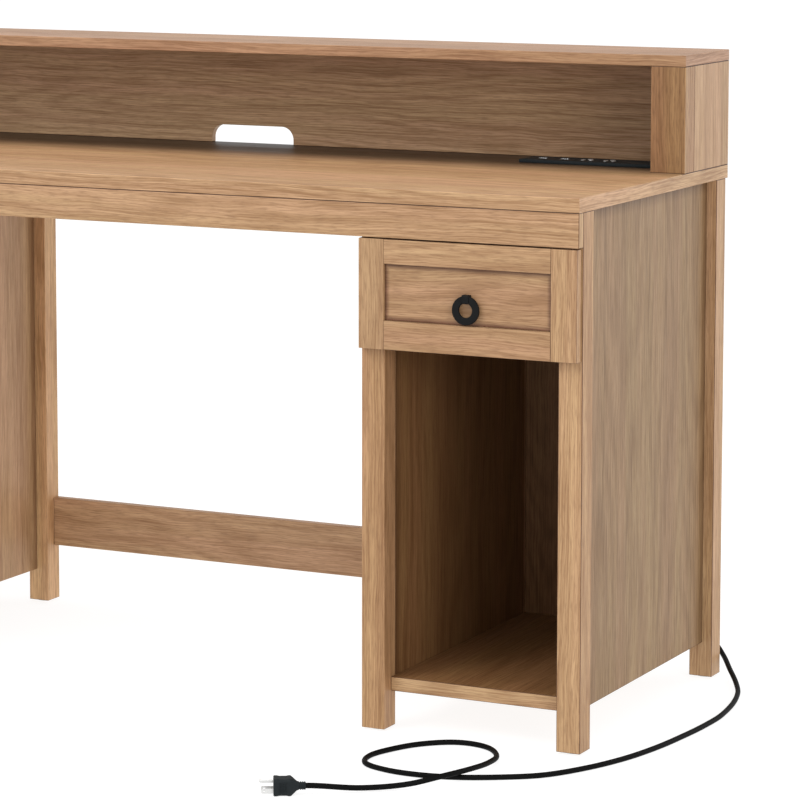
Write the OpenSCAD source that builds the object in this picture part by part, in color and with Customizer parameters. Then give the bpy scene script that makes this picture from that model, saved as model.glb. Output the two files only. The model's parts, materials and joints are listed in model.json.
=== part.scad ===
// Double pedestal desk with a monitor shelf, drawers on slides and a built-in power strip.
// Millimetres, +Z up. The origin is on the floor, under the middle of the desk.
// -Y is the front, where the sitter is. Left and right are the sitter's.

/* [Desk] */
// Width of the desktop
desk_w = 1570; // [1500:10:1700]
// Depth of the desktop
desk_d = 550; // [540:5:600]
// Height of the desktop's upper face
desk_h = 760; // [750:5:780]
// Thickness of the desktop
top_t = 20; // [18:1:25]
// Height of the front apron
apron_h = 47; // [40:1:60]
// Thickness of the front apron, which is also the setback of the legs
apron_t = 15; // [15:1:20]

/* [Pedestals] */
// Width of the left pedestal
left_w = 422; // [400:1:440]
// Width of the right pedestal
right_w = 330; // [320:1:345]
// Side of the square legs
leg_s = 35; // [32:1:40]
// Distance of the rear legs from the back edge of the desktop
rear_gap = 9; // [5:1:15]
// Recess of the outer side panels from the desk's end faces
outer_recess = 15; // [12:1:17]
// Recess of the kneehole side panels from the legs' kneehole faces
inner_recess = 20; // [15:1:22]
// Thickness of the back panels
back_t = 15; // [12:1:18]
// Height of the underside of the bottom panels
floor_z = 54; // [45:1:60]
// Thickness of the bottom panels
floor_t = 20; // [15:1:20]
// Setback of the bottom panels from the legs' front faces
floor_set = 21; // [15:1:30]
// Height of the underside of the crossbar
bar_z = 92; // [80:1:120]
// Height of the crossbar's face
bar_h = 78; // [60:1:90]
// Thickness of the crossbar
bar_t = 15; // [12:1:18]
// Thickness of the panel over the open bay
bay_top_t = 12; // [10:1:12]
// Radius of the foot glides
glide_r = 10.5; // [8:0.5:14]
// Height of the foot glides
glide_h = 3; // [2:1:5]

/* [Drawers] */
// Height of the small drawer fronts
front_h = 152; // [148:1:156]
// Thickness of the drawer fronts
front_t = 14; // [12:1:14]
// Gap above and between the drawer fronts
front_gap = 2; // [1:0.5:3]
// Inset of the drawer fronts from the sides of their pedestal
front_inset = 2.5; // [0:0.5:4]
// Width of the upright members of a drawer front
stile_w = 38; // [32:1:45]
// Height of the upper rail of a drawer front
top_rail_h = 34; // [30:1:40]
// Height of the lower rail of a drawer front
low_rail_h = 40; // [34:1:42]
// Recess of the front's centre panel
recess = 5; // [4:0.5:6]
// Length of the drawer boxes
box_l = 410; // [400:5:415]
// Height of the small drawers' boxes
box_h = 100; // [80:5:105]
// Height of the file drawer's box
file_box_h = 240; // [200:5:250]
// Thickness of the box sides and backs
box_t = 12; // [10:1:12]
// Thickness of the drawer bottoms
bottom_t = 5; // [4:1:6]

/* [Slides] */
// Length of the slide members
slide_l = 400; // [380:5:400]
// Height of a slide
slide_h = 35; // [30:1:38]
// Room that a slide takes beside the box
slide_gap = 12.5; // [12.5:0.1:13]
// Sheet thickness of the slide members
slide_t = 1.5; // [1.2:0.1:1.6]

/* [Ring pulls] */
// Outside diameter of a ring
ring_d = 40; // [38:1:42]
// Diameter of the finger hole
ring_hole = 20; // [18:1:22]
// Thickness of a ring
ring_t = 5; // [4.5:0.1:5]
// Width of the lug that carries the ring
lug_w = 10.6; // [10:0.1:11]
// Height of the lug
lug_h = 12; // [11:1:13]
// Radius of the lug's pin
pin_r = 1.5; // [1.2:0.1:1.6]
// Radial clearance of the ring on its pin
pin_play = 0.05; // [0.02:0.01:0.08]

/* [Monitor shelf] */
// Height of the shelf above the desktop
shelf_h = 168; // [150:1:190]
// Depth of the shelf
shelf_d = 172; // [160:1:190]
// Thickness of the shelf's top board
shelf_t = 16; // [15:1:20]
// Width of the front posts
post_w = 52.5; // [45:0.5:60]
// Depth of the front posts
post_d = 35.5; // [30:0.5:40]
// Thickness of the shelf's side panels
shelf_side_t = 16; // [15:1:20]
// Thickness of the shelf's back panel
shelf_back_t = 12; // [12:1:15]
// Width of the cable notch
notch_w = 144; // [120:1:160]
// Height of the cable notch
notch_h = 28; // [25:1:40]
// Radius of the notch's upper corners
notch_r = 20; // [10:1:24]

/* [Power strip] */
// Length of the strip's bezel
strip_l = 240; // [230:1:250]
// Width of the bezel
strip_w = 60; // [58:1:64]
// Height of the bezel above the desktop
strip_up = 5; // [4:0.5:6]
// Height of the housing under the bezel
strip_down = 48; // [44:1:50]
// Side of an outlet insert
outlet_s = 31; // [30:0.5:32]
// Depth of the outlet inserts and ports
insert_d = 12; // [10:1:14]

/* [Cord and plug] */
// Diameter of the power cord
cord_d = 7.5; // [7:0.1:8]
// Length of the strain relief on the housing
gland_l = 22; // [20:1:24]
// Width of the plug body
plug_w = 26; // [24:1:30]
// Height of the plug body
plug_h = 23; // [22:1:24]
// Length of the plug body with its shoulder and neck
plug_l = 42; // [40:1:50]
// Turn of the plug about the vertical
plug_turn = 209; // [205:1:213]

/* [Hidden] */
$fn = 48;
fit_gap = 0.2; // joint line between boards of one frame
pull_out = 4; // how far a lug stands in front of the drawer fronts
front_y = -(desk_d - pull_out) / 2;
back_y = front_y + desk_d;
leg_y = front_y + apron_t;
rear_y = back_y - rear_gap - leg_s;
under_z = desk_h - top_t;
apron_z = under_z - apron_h;
bay_back_y = rear_y - back_t;
shelf_y = back_y - shelf_d;
shelf_z = desk_h + shelf_h;
shelf_under = shelf_z - shelf_t;

// One row per side: name, direction of its outer face, pedestal width
LEFT = ["left", -1, left_w];
RIGHT = ["right", 1, right_w];
SIDES = [LEFT, RIGHT];
// x at a distance inward from a side's outer face
function in_x(s, d) = s[1] * (desk_w / 2 - d);
// the two x limits of a side's bay, between its legs and panels
function bay_x(s) = [in_x(s, leg_s), in_x(s, s[2] - leg_s)];

// One row per drawer: name, side, underside of the front, front height, box height
top_front_z = apron_z - front_gap - front_h;
mid_front_z = top_front_z - front_gap - front_h;
file_front_z = floor_z + front_gap;
DRAWERS = [
    ["right_drawer", RIGHT, top_front_z, front_h, box_h],
    ["left_top_drawer", LEFT, top_front_z, front_h, box_h],
    ["left_middle_drawer", LEFT, mid_front_z, front_h, box_h],
    ["file_drawer", LEFT, file_front_z, mid_front_z - front_gap - file_front_z, file_box_h]
];
box_lift = 22; // height of a box's lower edge above its front's
bottom_lift = 8; // height of a drawer bottom above the box's lower edge
slide_lift = 34; // height of a slide's middle above the box's lower edge
slide_y = leg_y + 5;
function box_x(d) = [min(bay_x(d[1])) + slide_gap, max(bay_x(d[1])) - slide_gap];
function box_z(d) = d[2] + box_lift;
function slide_z(d) = box_z(d) + slide_lift;
box_y = [front_y + front_t, front_y + front_t + box_l];

// The ring hangs from a pin that crosses the gap at its top
pin_y = front_y - 1;
pin_drop = 2.5; // the pin is this much under the middle of the centre panel
pin_over = (ring_d + ring_hole) / 4; // height of the pin above the ring's centre
pin_reach = 3.5; // length of the pin inside each end of the ring
ring_slot = lug_w + 0.8; // gap in the ring's top, for the lug
function pull_x(d) = in_x(d[1], d[1][2] / 2);
function panel_z(d) = [d[2] + low_rail_h, d[2] + d[3] - top_rail_h];
function pin_z(d) = (panel_z(d)[0] + panel_z(d)[1]) / 2 - pin_drop;

// Power strip
strip_x = 501;
strip_y = front_y + 436;
bezel_lip = 5; // how far the bezel laps over the cut-out
cut_gap = 1; // clearance of the housing in the cut-out
cut_x = [strip_x + bezel_lip, strip_x + strip_l - bezel_lip];
cut_y = [strip_y + bezel_lip, bay_back_y];
body_y = [cut_y[0] + cut_gap, cut_y[1] - cut_gap];
strip_z = desk_h + strip_up;
port_x = [525.5, 560.5];
outlet_x = [599, 634.5];
insert_y = strip_y + 32;
port_w = 14;
port_h = 7;
gland_x = 700;
gland_z = 726;
gland_slot = 28; // width of the slot in the back panel for the gland

// Cord route: out of the gland, down behind the pedestal, behind the rear leg and over the floor
cord_y = body_y[1] + gland_l;
ROUTE = [
    [700, cord_y, 726], [700, 252, 723.5], [700, 262.5, 716], [700, 270, 704], [700, 273.5, 689],
    [700, 274, 665], [700, 277, 420], [701, 282, 190], [708, 289, 115], [722, 296, 78],
    [742, 303, 54], [766, 299, 38], [785, 281, 27], [812, 238, 17.5], [838, 195, 9.5],
    [858, 150, 5.5], [880, 30, 4], [880, -40, 4], [874, -110, 4], [865, -177, 4],
    [848, -250, 4], [820, -320, 4], [782, -379, 4], [738, -412, 4], [690, -437, 4],
    [638, -450, 4], [584, -447, 4], [546, -428, 4], [535, -394, 4], [546, -350, 4],
    [573, -304, 4], [614, -276, 4], [656, -281, 4], [689, -318, 5], [701, -372, 9],
    [697, -421, 12], [680, -467, 12], [648, -508, 7], [600, -548, 6], [540, -588, 11.5]
];
route_end = ROUTE[len(ROUTE) - 1];
cord_sides = 8;
ring_steps = 2; // rings to each stretch of the route
neck_l = 10;
shoulder_l = 10;
neck_r = 5.5;
blade_l = 16;
blade_w = 6.4;
blade_t = 1.5;
blade_gap = 12.7;
blade_z = -5.2;
ground_r = 2.4;
ground_l = 19;
ground_z = 6.7;

OAK = [0.76, 0.60, 0.42];
OAK_SIDE = [0.66, 0.54, 0.40];
OAK_DARK = [0.52, 0.40, 0.28];
BLACK = [0.10, 0.10, 0.10];
STEEL = [0.75, 0.76, 0.78];
WHITE = [0.92, 0.92, 0.90];

LEG_PLACES = ["outer_front", "inner_front", "outer_rear", "inner_rear"];

// A board between two x, two y and two z limits, each pair in any order
module board(x, y, z)
    translate([min(x), min(y), min(z)])
        cube([max(x) - min(x), max(y) - min(y), max(z) - min(z)]);

module desktop() color(OAK) difference() {
    board([-desk_w / 2, desk_w / 2], [front_y, back_y], [under_z, desk_h]);
    board(cut_x, cut_y, [under_z - 1, desk_h + 1]);
}

module front_apron() color(OAK)
    board([-desk_w / 2, desk_w / 2], [front_y, leg_y], [apron_z, under_z]);

module kneehole_crossbar() color(OAK)
    board([in_x(LEFT, left_w), in_x(RIGHT, right_w)],
        [back_y - rear_gap - bar_t, back_y - rear_gap], [bar_z, bar_z + bar_h]);

// x limits and front face of the leg at one of LEG_PLACES
function leg_x(s, place) = place[0] == "o" ? [in_x(s, 0), in_x(s, leg_s)]
    : [in_x(s, s[2] - leg_s), in_x(s, s[2])];
function leg_front(place) = place[6] == "f" ? leg_y : rear_y;

module leg(s, place) color(OAK)
    board(leg_x(s, place), [leg_front(place), leg_front(place) + leg_s], [glide_h, under_z]);

module foot_glides() color(WHITE)
    for (s = SIDES, p = LEG_PLACES)
        translate([(leg_x(s, p)[0] + leg_x(s, p)[1]) / 2, leg_front(p) + leg_s / 2, 0])
            cylinder(r = glide_r, h = glide_h);

// Side panels stand between the front and rear legs, flush with them on the bay side
module outer_side_panel(s) color(OAK_SIDE)
    board([in_x(s, outer_recess), in_x(s, leg_s)], [leg_y + leg_s, rear_y], [floor_z, under_z]);

module kneehole_side_panel(s) color(OAK_SIDE)
    board([in_x(s, s[2] - inner_recess), in_x(s, s[2] - leg_s)],
        [leg_y + leg_s, rear_y], [floor_z, under_z]);

// The right back panel has a slot at its top for the cord's gland
module back_panel(s) color(OAK_DARK) difference() {
    board(bay_x(s), [bay_back_y, rear_y], [floor_z, under_z]);
    if (s[0] == "right")
        board([gland_x - gland_slot / 2, gland_x + gland_slot / 2],
            [bay_back_y - 1, rear_y + 1], [gland_z - gland_slot / 2, under_z + 1]);
}

module bottom_panel(s) color(OAK)
    board(bay_x(s), [leg_y + floor_set, bay_back_y], [floor_z, floor_z + floor_t]);

module bay_top_panel() color(OAK_DARK)
    board(bay_x(RIGHT), [leg_y + leg_s, bay_back_y],
        [top_front_z + front_gap, top_front_z + front_gap + bay_top_t]);

// A channel along +Y whose open side faces +X, with its web's back at x = 0
module channel(width, height)
    rotate([90, 0, 0]) mirror([0, 0, 1]) linear_extrude(slide_l)
        polygon([
            [0, -height / 2], [width, -height / 2], [width, -height / 2 + slide_t],
            [slide_t, -height / 2 + slide_t], [slide_t, height / 2 - slide_t],
            [width, height / 2 - slide_t], [width, height / 2], [0, height / 2]
        ]);

// The cabinet members are screwed to the bay's walls and hold the drawer members
module cabinet_slides(s) color(STEEL)
    for (d = DRAWERS)
        if (d[1][0] == s[0]) {
            translate([min(bay_x(s)), slide_y, slide_z(d)]) channel(9, slide_h);
            translate([max(bay_x(s)), slide_y, slide_z(d)]) mirror([1, 0, 0]) channel(9, slide_h);
        }

module drawer_slides(d) color(STEEL) {
    translate([box_x(d)[0], slide_y, slide_z(d)]) mirror([1, 0, 0]) channel(9, slide_h - 7);
    translate([box_x(d)[1], slide_y, slide_z(d)]) channel(9, slide_h - 7);
}

// Two stiles, two rails and a recessed centre panel
module drawer_front(d) color(OAK) {
    ends = [in_x(d[1], front_inset), in_x(d[1], d[1][2] - front_inset)];
    x = [min(ends), max(ends)];
    y = [front_y, front_y + front_t];
    z = [d[2], d[2] + d[3]];
    inner = [x[0] + stile_w + fit_gap, x[1] - stile_w - fit_gap];
    board([x[0], x[0] + stile_w], y, z);
    board([x[1] - stile_w, x[1]], y, z);
    board(inner, y, [z[0], z[0] + low_rail_h]);
    board(inner, y, [z[1] - top_rail_h, z[1]]);
    board(inner, [y[0] + recess, y[1]], [panel_z(d)[0] + fit_gap, panel_z(d)[1] - fit_gap]);
}

// Two sides with the back between them
module drawer_box(d) color(OAK) {
    x = box_x(d);
    z = [box_z(d), box_z(d) + d[4]];
    board([x[0], x[0] + box_t], box_y, z);
    board([x[1] - box_t, x[1]], box_y, z);
    board([x[0] + box_t + fit_gap, x[1] - box_t - fit_gap], [box_y[1] - box_t, box_y[1]], z);
}

module drawer_bottom(d) color(OAK_SIDE)
    board([box_x(d)[0] + box_t, box_x(d)[1] - box_t], [box_y[0], box_y[1] - box_t],
        [box_z(d) + bottom_lift, box_z(d) + bottom_lift + bottom_t]);

// A block on the centre panel with the pin cast across it
module pull_lug(d) color(BLACK) {
    r = 2;
    top = pin_z(d) + lug_h / 2;
    translate([pull_x(d) - lug_w / 2, 0, 0]) rotate([90, 0, 90]) linear_extrude(lug_w) {
        translate([front_y - pull_out + r, pin_z(d) - lug_h / 2])
            square([pull_out + recess - r, lug_h]);
        translate([front_y - pull_out, pin_z(d) - lug_h / 2 + r]) square([r, lug_h - 2 * r]);
        for (z = [pin_z(d) - lug_h / 2 + r, top - r]) translate([front_y - pull_out + r, z]) circle(r);
    }
    translate([pull_x(d) - lug_w / 2 - pin_reach, pin_y, pin_z(d)]) rotate([0, 90, 0])
        cylinder(r = pin_r, h = lug_w + 2 * pin_reach);
}

// A flat ring, open at its top for the lug, with a blind bore in each end for the pin
module pull_ring(d) color(BLACK)
    translate([pull_x(d), pin_y, pin_z(d) - pin_over]) difference() {
        rotate([90, 0, 0]) cylinder(d = ring_d, h = ring_t, center = true);
        rotate([90, 0, 0]) cylinder(d = ring_hole, h = ring_t + 2, center = true);
        translate([-ring_slot / 2, -ring_t, 0]) cube([ring_slot, 2 * ring_t, ring_d]);
        translate([-lug_w / 2 - pin_reach - fit_gap, 0, pin_over]) rotate([0, 90, 0])
            cylinder(r = pin_r + pin_play, h = lug_w + 2 * (pin_reach + fit_gap));
    }

module shelf_top() color(OAK)
    board([-desk_w / 2, desk_w / 2], [shelf_y, back_y], [shelf_under, shelf_z]);

// The cable notch is open to the desktop, with round upper corners
module shelf_back_panel() color(OAK_DARK) difference() {
    board([-desk_w / 2 + shelf_side_t, desk_w / 2 - shelf_side_t],
        [back_y - shelf_back_t, back_y], [desk_h, shelf_under]);
    translate([0, back_y + 1, desk_h]) rotate([90, 0, 0]) linear_extrude(shelf_back_t + 2) {
        translate([-notch_w / 2, -1]) square([notch_w, notch_h - notch_r + 1]);
        translate([-notch_w / 2 + notch_r, -1]) square([notch_w - 2 * notch_r, notch_h + 1]);
        for (side = [-1, 1])
            translate([side * (notch_w / 2 - notch_r), notch_h - notch_r]) circle(notch_r);
    }
}

module shelf_post(s) color(OAK)
    board([in_x(s, 0), in_x(s, post_w)], [shelf_y, shelf_y + post_d], [desk_h, shelf_under]);

module shelf_side_panel(s) color(OAK_SIDE)
    board([in_x(s, 0), in_x(s, shelf_side_t)], [shelf_y + post_d, back_y], [desk_h, shelf_under]);

// Outline of an outlet insert or a port, centred on the origin
module outlet_outline() {
    square([outlet_s - 6, outlet_s], center = true);
    square([outlet_s, outlet_s - 6], center = true);
    for (x = [-1, 1], y = [-1, 1]) translate([x, y] * (outlet_s / 2 - 3)) circle(3);
}

// Bezel and body in one moulding, with pockets for the inserts
module strip_housing() color(BLACK) difference() {
    union() {
        board([strip_x, strip_x + strip_l], [strip_y, strip_y + strip_w], [desk_h, strip_z]);
        board([cut_x[0] + cut_gap, cut_x[1] - cut_gap], body_y, [desk_h - strip_down, strip_z]);
    }
    for (x = outlet_x) translate([x, insert_y, strip_z - insert_d]) linear_extrude(insert_d + 1)
        outlet_outline();
    for (x = port_x) translate([x, insert_y, strip_z - insert_d / 2 + 0.5])
        cube([port_w, port_h, insert_d + 1], center = true);
}

// Each insert has two blade slots and a round ground hole
module ac_outlets() color(BLACK)
    for (x = outlet_x) translate([x, insert_y, strip_z - insert_d]) difference() {
        linear_extrude(insert_d) outlet_outline();
        for (side = [-1, 1]) translate([side * blade_gap / 2, blade_z, insert_d])
            cube([2.2, 8, insert_d], center = true);
        translate([0, ground_z, insert_d / 2]) cylinder(r = 2.6, h = insert_d);
    }

// Each port is a metal shell with a tongue standing in it
module usb_ports() color(STEEL)
    for (x = port_x) translate([x, insert_y, strip_z - insert_d / 2]) difference() {
        cube([port_w, port_h, insert_d], center = true);
        difference() {
            translate([0, 0, 2]) cube([port_w - 1.2, port_h - 1.2, insert_d], center = true);
            translate([0, 1, 0]) cube([port_w - 3, 1.8, insert_d - 2], center = true);
        }
    }

module cord_gland() color(BLACK)
    translate([gland_x, body_y[1], gland_z]) rotate([-90, 0, 0]) {
        cylinder(r = 8, h = 3);
        cylinder(r1 = 6.5, r2 = 4.8, h = gland_l);
    }

// Direction of the route at point i, which bisects the two stretches that meet there
function unit(v) = v / norm(v);
function heading(i) =
    i == 0 ? [0, 1, 0]
    : i == len(ROUTE) - 1 ? [cos(plug_turn), sin(plug_turn), 0]
    : unit(unit(ROUTE[i] - ROUTE[i - 1]) + unit(ROUTE[i + 1] - ROUTE[i]));
// Point and direction at a part t of stretch i, on a smooth cubic between its two ends
function smooth(i, t) =
    let (a = ROUTE[i], b = ROUTE[i + 1], l = norm(b - a), u = heading(i) * l, v = heading(i + 1) * l)
    a * (2 * t^3 - 3 * t^2 + 1) + u * (t^3 - 2 * t^2 + t) + b * (3 * t^2 - 2 * t^3) + v * (t^3 - t^2);
PATH = concat(
    [for (i = [0 : len(ROUTE) - 2], k = [0 : ring_steps - 1]) smooth(i, k / ring_steps)],
    [route_end]
);
last = len(PATH) - 1;
function tangent(i) =
    i == 0 ? heading(0)
    : i == last ? heading(len(ROUTE) - 1)
    : unit(PATH[i + 1] - PATH[i - 1]);
// Side direction of each ring, carried along the path without twist
function across(v, i) = unit(v - (v * tangent(i)) * tangent(i));
SIDE_DIRS = [for (i = 0, v = [1, 0, 0]; i <= last; i = i + 1, v = i > last ? v : across(v, i)) v];
RINGS = [
    for (i = [0 : last], k = [0 : cord_sides - 1])
        let (a = 360 * k / cord_sides, v = SIDE_DIRS[i], w = cross(tangent(i), v))
        PATH[i] + cord_d / 2 * (cos(a) * v + sin(a) * w)
];

module power_cord() color(BLACK)
    polyhedron(RINGS, concat(
        [[for (k = [0 : cord_sides - 1]) k]],
        [for (i = [0 : last - 1], k = [0 : cord_sides - 1])
            let (a = i * cord_sides + k, b = i * cord_sides + (k + 1) % cord_sides)
            [a, a + cord_sides, b + cord_sides, b]],
        [[for (k = [cord_sides - 1 : -1 : 0]) last * cord_sides + k]]
    ));

// Draws its children at the cord's far end, with +X pointing out of the plug
module at_plug() translate(route_end) rotate([0, 0, plug_turn]) children();

// A thin slice of the plug, at x, with round corners
module plug_slice(x, w, h, r)
    translate([x, 0, 0]) rotate([90, 0, 90]) linear_extrude(0.5) offset(r)
        square([w - 2 * r, h - 2 * r], center = true);

module plug_body() color(BLACK) at_plug() {
    rotate([0, 90, 0]) cylinder(r = neck_r, h = neck_l + 1);
    hull() {
        plug_slice(neck_l, 2 * neck_r, 2 * neck_r, neck_r - 0.5);
        plug_slice(neck_l + shoulder_l, plug_w, plug_h, 4);
        plug_slice(plug_l - 0.5, plug_w, plug_h, 4);
    }
}

module plug_blades() color(STEEL) at_plug() {
    for (side = [-1, 1]) translate([plug_l, side * blade_gap / 2 - blade_t / 2, blade_z - blade_w / 2])
        cube([blade_l, blade_t, blade_w]);
    translate([plug_l, 0, ground_z]) rotate([0, 90, 0]) {
        cylinder(r = ground_r, h = ground_l - ground_r);
        translate([0, 0, ground_l - ground_r]) cylinder(r1 = ground_r, r2 = ground_r / 2, h = ground_r);
    }
}

desktop();
front_apron();
kneehole_crossbar();
foot_glides();
bay_top_panel();
for (s = SIDES, p = LEG_PLACES)
    leg(s, p);
for (s = SIDES) {
    outer_side_panel(s);
    kneehole_side_panel(s);
    back_panel(s);
    bottom_panel(s);
    cabinet_slides(s);
    shelf_post(s);
    shelf_side_panel(s);
}
for (d = DRAWERS) {
    drawer_front(d);
    drawer_box(d);
    drawer_bottom(d);
    drawer_slides(d);
    pull_lug(d);
    pull_ring(d);
}
shelf_top();
shelf_back_panel();
strip_housing();
ac_outlets();
usb_ports();
cord_gland();
power_cord();
plug_body();
plug_blades();
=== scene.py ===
"""A double pedestal desk with a monitor shelf and a power strip, finished around its CAD frame.

Metres, +Z up, origin on the floor under the middle of the desk. -Y is the front, where the sitter is.
"""

import itertools
import json
import math

import bmesh
import bpy
from bpy.props import FloatProperty, FloatVectorProperty, IntProperty, PointerProperty
from mathutils import Matrix, Vector

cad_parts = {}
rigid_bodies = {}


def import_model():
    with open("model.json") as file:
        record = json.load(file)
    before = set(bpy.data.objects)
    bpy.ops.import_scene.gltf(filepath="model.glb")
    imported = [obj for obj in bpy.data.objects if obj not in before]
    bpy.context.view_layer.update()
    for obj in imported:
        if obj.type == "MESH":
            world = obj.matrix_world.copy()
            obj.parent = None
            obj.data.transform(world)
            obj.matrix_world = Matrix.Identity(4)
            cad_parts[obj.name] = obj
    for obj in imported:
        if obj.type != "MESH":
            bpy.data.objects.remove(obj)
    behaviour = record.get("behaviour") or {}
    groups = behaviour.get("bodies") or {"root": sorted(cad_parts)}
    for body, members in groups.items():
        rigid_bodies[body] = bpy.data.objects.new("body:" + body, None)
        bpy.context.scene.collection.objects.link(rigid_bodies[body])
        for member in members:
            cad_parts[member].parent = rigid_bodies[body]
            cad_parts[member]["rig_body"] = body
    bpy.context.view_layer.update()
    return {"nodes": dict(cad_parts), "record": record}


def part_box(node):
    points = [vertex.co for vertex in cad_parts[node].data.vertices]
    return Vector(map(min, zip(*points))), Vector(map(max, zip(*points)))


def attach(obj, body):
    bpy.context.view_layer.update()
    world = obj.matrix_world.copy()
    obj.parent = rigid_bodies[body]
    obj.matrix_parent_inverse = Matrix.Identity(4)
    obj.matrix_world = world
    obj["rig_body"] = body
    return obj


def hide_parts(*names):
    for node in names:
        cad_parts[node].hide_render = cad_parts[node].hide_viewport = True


bl_info = {
    "name": "Oak Desk",
    "version": (1, 0, 0),
    "blender": (4, 5, 0),
    "location": "3D View > Sidebar > Desk",
    "description": "Builds the visible pieces of an oak-look desk around its CAD frame",
    "category": "Add Mesh",
}

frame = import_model()

MM = 0.001
NODES = frame["nodes"]
SLOT_OF = {part["node"]: part["material_slot"] for part in frame["record"]["subparts"]}
SIDES = ("left", "right")
DRAWERS = ("right_drawer", "left_top_drawer", "left_middle_drawer", "file_drawer")
LEG_PLACES = ("outer_front", "inner_front", "outer_rear", "inner_rear")
GRAIN_MAP = "grain"
TINT = "tint"
FACING = "facing"
COLOUR = {"subtype": "COLOR", "size": 4}

# The power cord's route in metres: out of the gland, down behind the pedestal, then over the floor
CORD_ROUTE = [
    (0.700, 0.239, 0.726), (0.700, 0.252, 0.7235), (0.700, 0.2625, 0.716), (0.700, 0.270, 0.704),
    (0.700, 0.2735, 0.689), (0.700, 0.274, 0.665), (0.700, 0.277, 0.420), (0.701, 0.282, 0.190),
    (0.708, 0.289, 0.115), (0.722, 0.296, 0.078), (0.742, 0.303, 0.054), (0.766, 0.299, 0.038),
    (0.785, 0.281, 0.027), (0.812, 0.238, 0.0175), (0.838, 0.195, 0.0095), (0.858, 0.150, 0.0055),
    (0.880, 0.030, 0.004), (0.880, -0.040, 0.004), (0.874, -0.110, 0.004), (0.865, -0.177, 0.004),
    (0.848, -0.250, 0.004), (0.820, -0.320, 0.004), (0.782, -0.379, 0.004), (0.738, -0.412, 0.004),
    (0.690, -0.437, 0.004), (0.638, -0.450, 0.004), (0.584, -0.447, 0.004), (0.546, -0.428, 0.004),
    (0.535, -0.394, 0.004), (0.546, -0.350, 0.004), (0.573, -0.304, 0.004), (0.614, -0.276, 0.004),
    (0.656, -0.281, 0.004), (0.689, -0.318, 0.005), (0.701, -0.372, 0.009), (0.697, -0.421, 0.012),
    (0.680, -0.467, 0.012), (0.648, -0.508, 0.007), (0.600, -0.548, 0.006), (0.540, -0.588, 0.0115),
]
PLUG_TURN = math.radians(209)

# Tint of single boards against the rest of the timber; anything not named here is 1, 1, 1. Most are a board's
# own tone, but some are painted light: painted shade darkens the shelf's back panel and the right inner front
# leg, and painted light brightens the left inner rear leg and the kneehole crossbar
BROWN = (0.76, 0.71, 0.63)
TAN_GREY = (0.57, 0.57, 0.51)
BOARD_TONES_AND_PAINTED_LIGHT = {
    "left_shelf_post": BROWN,
    "right_shelf_post": BROWN,
    "shelf_top": (0.76, 0.71, 0.74),
    # Painted shade: the back panel sits in the shade under the shelf
    "shelf_back_panel": (0.87, 0.89, 0.93),
    "left_outer_side_panel": TAN_GREY,
    "right_outer_side_panel": TAN_GREY,
    "left_shelf_side_panel": (0.92, 0.92, 0.91),
    "right_shelf_side_panel": (0.92, 0.92, 0.91),
    "left_kneehole_side_panel": (0.88, 0.87, 0.86),
    "right_kneehole_side_panel": (0.93, 0.92, 0.92),
    "left_back_panel": (0.80, 0.78, 0.76),
    "right_back_panel": (0.80, 0.78, 0.76),
    # Painted shade: the bay opening shades this leg
    "right_inner_front_leg": (0.88, 0.82, 0.75),
    "right_outer_front_leg": (0.93, 0.90, 0.89),
    "right_drawer_front": (0.88, 0.85, 0.84),
    # Painted light: this leg, deep in the kneehole, is lightened as if lit from behind
    "left_inner_rear_leg": (1.20, 1.20, 1.14),
    # Painted light: the crossbar is lightened as if lit low from the front
    "kneehole_crossbar": (1.07, 1.07, 1.11),
}
# Painted shade on the shelf posts' front faces, darker than their sides
POST_FRONT_PAINTED_SHADE = {"left_shelf_post": (0.75, 0.70, 0.65), "right_shelf_post": (0.75, 0.70, 0.65)}
# Painted shade on the faces that look into the open bay, deeper and browner where the closed box is dark
BAY_PAINTED_SHADE = (0.52, 0.44, 0.34)
# Painted shade on the desktop, deepening towards the shelf's back panel: distance from it, share of the
# colour kept
NICHE_PAINTED_SHADE = ((-0.01, 0.11), (0.095, 0.14), (0.130, 0.30), (0.170, 0.62), (0.220, 1.0))
# Tone of the painted shade under the shelf
NICHE_SHADE_TONE = (1, 0.97, 0.95)
# Eased edges inside a joint are dark, and the others a little paler than their board
IN_JOINT = (0.26, 0.20, 0.17)
EASED = (1.05, 1.05, 1.05)
WHOLE = (1, 1, 1)
# Painted shade on the drawer fronts' panels, deepening towards their frames
RECESS_PAINTED_SHADE = (0.36, 0.27, 0.29)
RECESS_SHADE = 10 * MM
RECESS_DEPTH = 8 * MM
# Painted shade on the pedestals' side panels, deepening beside the legs and under the desktop
SIDE_PANEL_PAINTED_SHADE = (0.60, 0.56, 0.54)
PANEL_SHADE = 20 * MM
PEDESTAL_SIDES = ("outer_side_panel", "kneehole_side_panel")
EDGE_REACH = 2 * MM
JOINT_REACH = 0.9 * MM
LOOK_AHEAD = 10 * MM
SQUARE_ON = 0.99
# Boards differ a little in tone, and every board and side of a board has its own stretch of grain
BOARD_SPREAD = 0.035
BOARD_TURN = 2.4
GRAIN_STEP = (1.37, 0.61)
AXIS_STEP = 1.9
FAR_SIDE_STEP = 3
BOARD_NUMBERS = itertools.count(0, 5)
# The picture's centre against the lens's, and the floor's radius in metres and own light
CAMERA_SHIFT = (0.05, -0.20)
FLOOR_RADIUS = 40
FLOOR_GLOW = 0.86
BOXES = {node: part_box(node) for node in NODES}
BAY = (
    (
        BOXES["right_kneehole_side_panel"][1].x,
        BOXES["right_inner_front_leg"][1].y,
        BOXES["right_bottom_panel"][1].z,
    ),
    (
        BOXES["right_outer_rear_leg"][0].x,
        BOXES["right_back_panel"][0].y,
        BOXES["bay_top_panel"][0].z,
    ),
)


# ---------------------------------------------------------------- settings


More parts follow.
